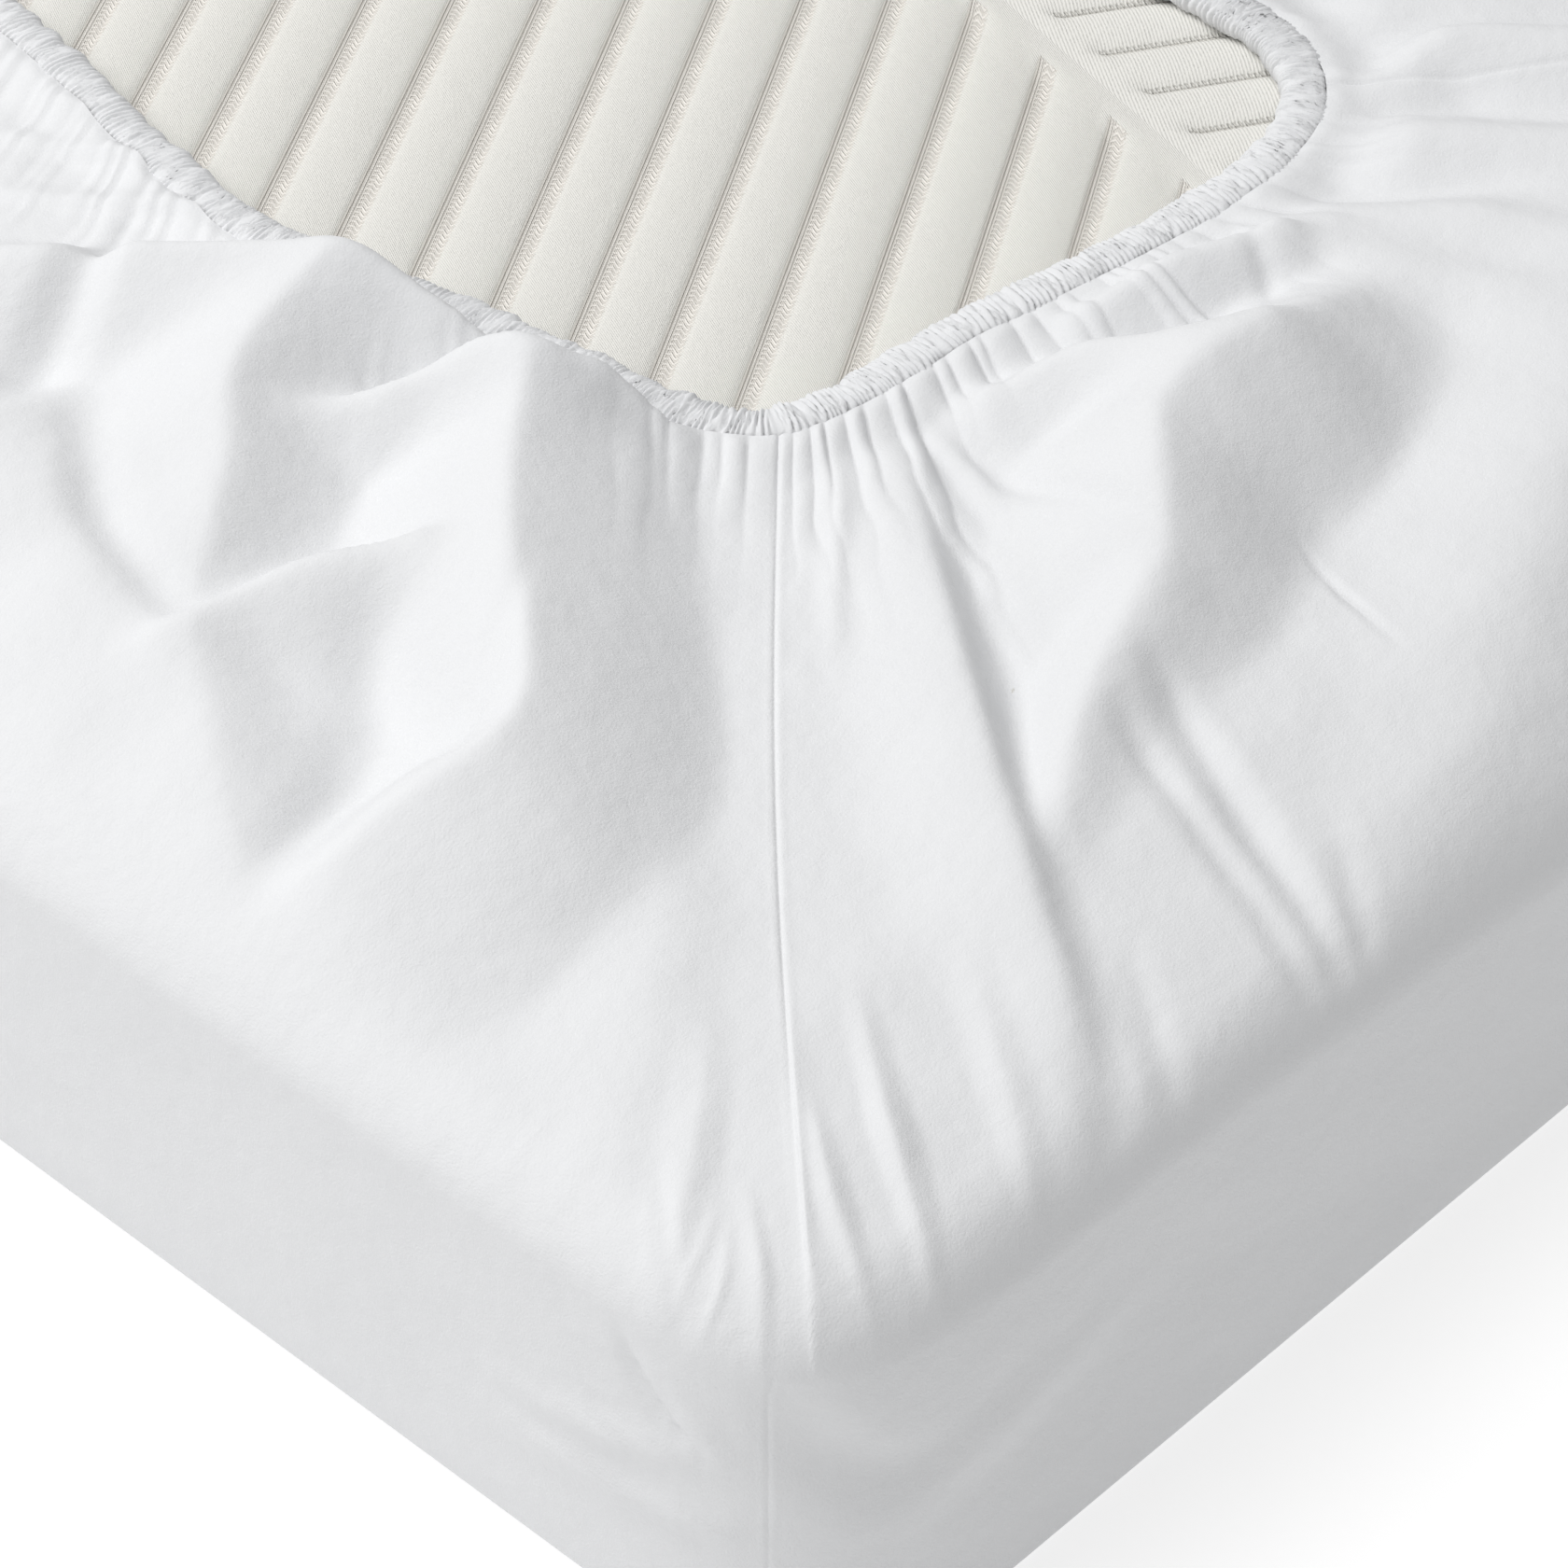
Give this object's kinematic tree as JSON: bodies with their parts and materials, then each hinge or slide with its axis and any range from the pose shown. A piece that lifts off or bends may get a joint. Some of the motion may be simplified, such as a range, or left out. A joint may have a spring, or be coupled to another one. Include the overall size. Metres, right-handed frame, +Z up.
{
  "type": "fitted sheet on a mattress",
  "caption": "White fitted sheet with a gathered hem, on a small mattress lying face down, so the hem's opening shows the quilted cover.",
  "frame": {"origin": "middle of the footprint, on the surface that the mattress lies on", "axes": "+Z up, +Y along the mattress, +X across it"},
  "size_m": [0.7, 1.32, 0.1586],
  "materials": {
    "cotton": "smooth white percale cotton, matte",
    "ticking": "cream knitted ticking, quilted in slanting channels"
  },
  "bodies": {
    "root": {"sheet": "cotton", "mattress": "ticking"}
  },
  "joints": []
}
